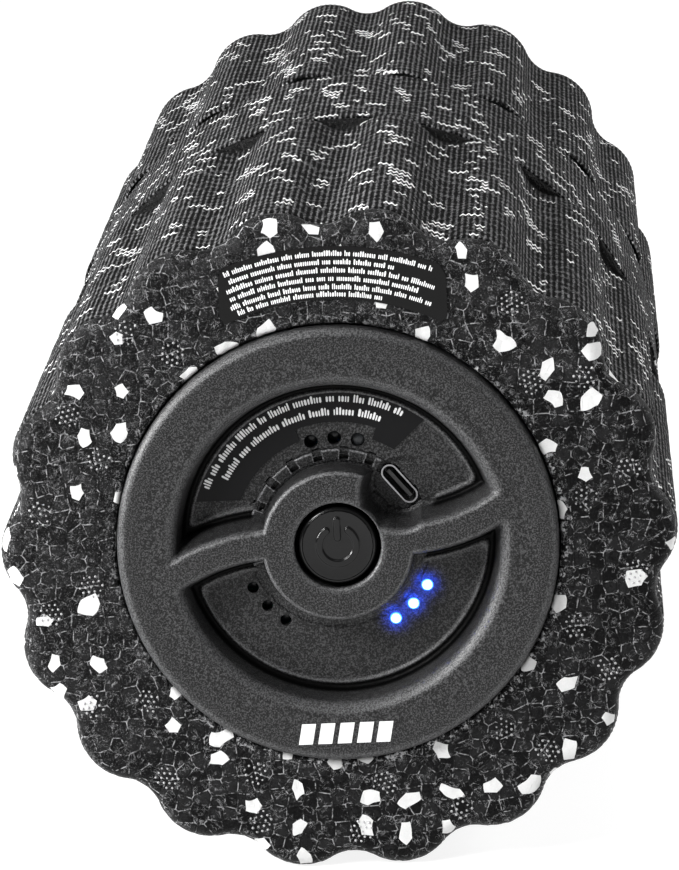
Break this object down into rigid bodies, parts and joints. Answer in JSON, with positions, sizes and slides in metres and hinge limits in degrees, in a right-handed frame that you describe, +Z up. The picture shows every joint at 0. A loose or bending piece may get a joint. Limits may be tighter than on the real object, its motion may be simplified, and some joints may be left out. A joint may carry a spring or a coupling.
{
  "type": "foam roller",
  "caption": "Battery-powered vibrating foam roller: lobed bead-foam tube with knit sides, a plain middle band and a recessed control end with push button, lamps and charging socket.",
  "frame": {"origin": "centre of the roller, on its axis, halfway between the proud rims of the two end trims", "axes": "+Y along the roller's axis, away from the control end, +Z up with the roller lying on two lobes, +X to the right seen from the control end"},
  "size_m": [0.13, 0.3181, 0.1284],
  "materials": {
    "bead_foam": "moulded bead foam, charcoal black with scattered white beads",
    "lobe_knit": "charcoal ribbed knit with white flecks",
    "band_knit": "charcoal ribbed knit with white flecks",
    "trim_black": "fine spark-eroded texture",
    "floor_black": "fine spark-eroded texture",
    "button_black": "smooth satin gloss",
    "spring_steel": "bright spring wire",
    "plunger_white": "smooth",
    "moulded_black": "moulded",
    "lens_grey": "frosted light guide, unlit",
    "lens_blue": "frosted light guide, lit",
    "film_black": "smooth printed film",
    "label_black": "glossy printed label",
    "mark_white": "pad-printed ink",
    "socket_steel": "bright drawn shell",
    "board_green": "solder mask",
    "screw_steel": "zinc plated",
    "lamp_white": "LED package",
    "socket_cream": "moulded connector",
    "core_plastic": "moulded",
    "cell_sleeve": "shrink sleeve over a steel can",
    "tray_white": "moulded",
    "nickel": "nickel strip",
    "lead_red": "silicone insulation",
    "lead_black": "silicone insulation",
    "can_steel": "zinc plated deep-drawn can",
    "ferrite": "sintered ferrite",
    "brass_parts": "stamped",
    "carbon": "carbon brush",
    "shaft_steel": "ground",
    "ball_steel": "polished",
    "lamination": "stacked laminations",
    "copper": "enamelled copper",
    "weight_steel": "sintered steel",
    "grub_black": "black oxide",
    "damper_rubber": "moulded"
  },
  "bodies": {
    "root": {"foam_body": "bead_foam", "front_fabric": "lobe_knit", "rear_fabric": "lobe_knit", "band_fabric": "band_knit", "front_bezel": "trim_black", "rear_cap": "trim_black", "control_plate": "floor_black", "button_spring": "spring_steel", "brush_springs": "spring_steel", "switch_body": "moulded_black", "usb_tongue": "moulded_black", "board_chips": "moulded_black", "motor_end_bell": "moulded_black", "level_lens": "lens_grey", "mode_lens": "lens_grey", "speed_lens": "lens_blue", "control_film": "film_black", "rating_label": "label_black", "front_mark": "mark_white", "usb_shell": "socket_steel", "main_board": "board_green", "battery_board": "board_green", "board_screws": "screw_steel", "housing_screws": "screw_steel", "front_cap_screws": "screw_steel", "rear_cap_screws": "screw_steel", "status_lamps": "lamp_white", "lead_sockets": "socket_cream", "upper_housing": "core_plastic", "lower_housing": "core_plastic", "battery_cells": "cell_sleeve", "battery_tray": "tray_white", "cell_tabs": "nickel", "battery_leads": "lead_red", "motor_leads": "lead_black", "motor_can": "can_steel", "motor_magnets": "ferrite", "brush_holders": "brass_parts", "motor_brushes": "carbon", "front_outer_race": "shaft_steel", "rear_outer_race": "shaft_steel", "front_damper": "damper_rubber", "rear_damper": "damper_rubber"},
    "power_button": {"power_button": "button_black"},
    "switch_plunger": {"switch_plunger": "plunger_white"},
    "rotor": {"motor_shaft": "shaft_steel", "armature_core": "lamination", "armature_windings": "copper", "commutator": "copper", "front_inner_race": "shaft_steel", "rear_inner_race": "shaft_steel", "front_weight": "weight_steel", "rear_weight": "weight_steel", "weight_screws": "grub_black"},
    "front_ball_set": {"front_balls": "ball_steel", "front_cage": "brass_parts"},
    "rear_ball_set": {"rear_balls": "ball_steel", "rear_cage": "brass_parts"}
  },
  "joints": [
    {"name": "button_press", "type": "slide", "parent": "root", "child": "power_button", "axis": [0, 1, 0], "range_m": [0, 0.0006], "stiffness_N_per_m": 900, "springref_m": -0.0015, "deforming": ["button_spring"]},
    {"name": "plunger_press", "type": "slide", "parent": "root", "child": "switch_plunger", "axis": [0, 1, 0], "range_m": [0, 0.0006]},
    {"name": "rotor_spin", "type": "hinge", "parent": "root", "child": "rotor", "pos_m": [0, 0, 0], "axis": [0, 1, 0], "continuous": true},
    {"name": "front_balls_spin", "type": "hinge", "parent": "root", "child": "front_ball_set", "pos_m": [0, -0.031, 0], "axis": [0, 1, 0], "continuous": true},
    {"name": "rear_balls_spin", "type": "hinge", "parent": "root", "child": "rear_ball_set", "pos_m": [0, 0.031, 0], "axis": [0, 1, 0], "continuous": true}
  ],
  "couplings": [
    {"joint": "plunger_press", "follows": "button_press", "ratio": 1},
    {"joint": "front_balls_spin", "follows": "rotor_spin", "ratio": 0.36842},
    {"joint": "rear_balls_spin", "follows": "rotor_spin", "ratio": 0.36842}
  ]
}
